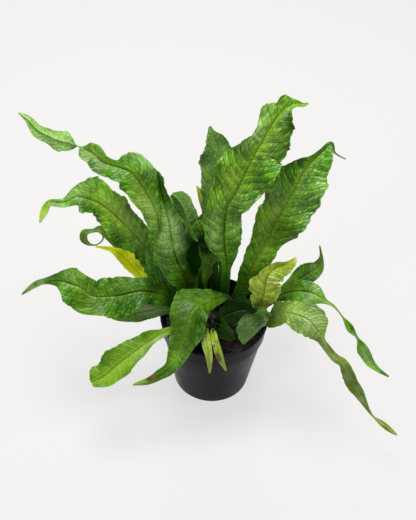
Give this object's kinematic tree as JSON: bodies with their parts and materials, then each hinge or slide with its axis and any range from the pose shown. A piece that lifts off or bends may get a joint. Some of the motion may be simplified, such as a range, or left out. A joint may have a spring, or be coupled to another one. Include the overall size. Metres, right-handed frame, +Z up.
{
  "type": "potted fern",
  "caption": "Strap fern with long, wavy, net-veined fronds arching out of a round black plastic nursery pot.",
  "frame": {"origin": "centre of the pot's underside, on the surface it stands on", "axes": "+Z up along the pot's axis, -Y towards the front of the plant, +X towards the side with the trailing fronds"},
  "size_m": [0.4291, 0.2499, 0.3278],
  "materials": {
    "pot_plastic": "moulded black plastic with a soft sheen",
    "potting_mix": "damp dark mix with bark and grit",
    "rootstock": "dry brown scales",
    "leaf_green": "glossy leaf with a raised net of veins",
    "leaf_bright": "glossy leaf with a raised net of veins",
    "leaf_pale": "glossy leaf with a raised net of veins",
    "leaf_yellow": "glossy leaf with a raised net of veins",
    "leaf_deep": "glossy leaf with a raised net of veins",
    "leaf_lime": "glossy leaf with a raised net of veins"
  },
  "bodies": {
    "root": {"pot": "pot_plastic", "potting_mix": "potting_mix", "rootstock": "rootstock", "frond_tall_back": "leaf_green", "frond_right_back": "leaf_green", "frond_back": "leaf_deep", "frond_back_small": "leaf_lime", "frond_left_long": "leaf_green", "frond_left_upper": "leaf_green", "frond_left_curled": "leaf_pale", "frond_left_yellow": "leaf_yellow", "frond_left_level": "leaf_green", "frond_left_under": "leaf_deep", "frond_front_left": "leaf_bright", "frond_front": "leaf_green", "frond_centre_left": "leaf_green", "frond_centre_turned": "leaf_deep", "frond_centre_small": "leaf_green", "frond_yellow_folded": "leaf_lime", "frond_right_back_small": "leaf_green", "frond_right_trailing": "leaf_green", "frond_front_right_trailing": "leaf_pale", "frond_rim_right": "leaf_deep", "frond_rim_small": "leaf_deep", "frond_rim_dark": "leaf_deep", "frond_young_left": "leaf_lime", "frond_young_right": "leaf_lime", "frond_low_back_left": "leaf_deep", "frond_low_back": "leaf_green", "frond_low_back_right": "leaf_deep"}
  },
  "joints": []
}
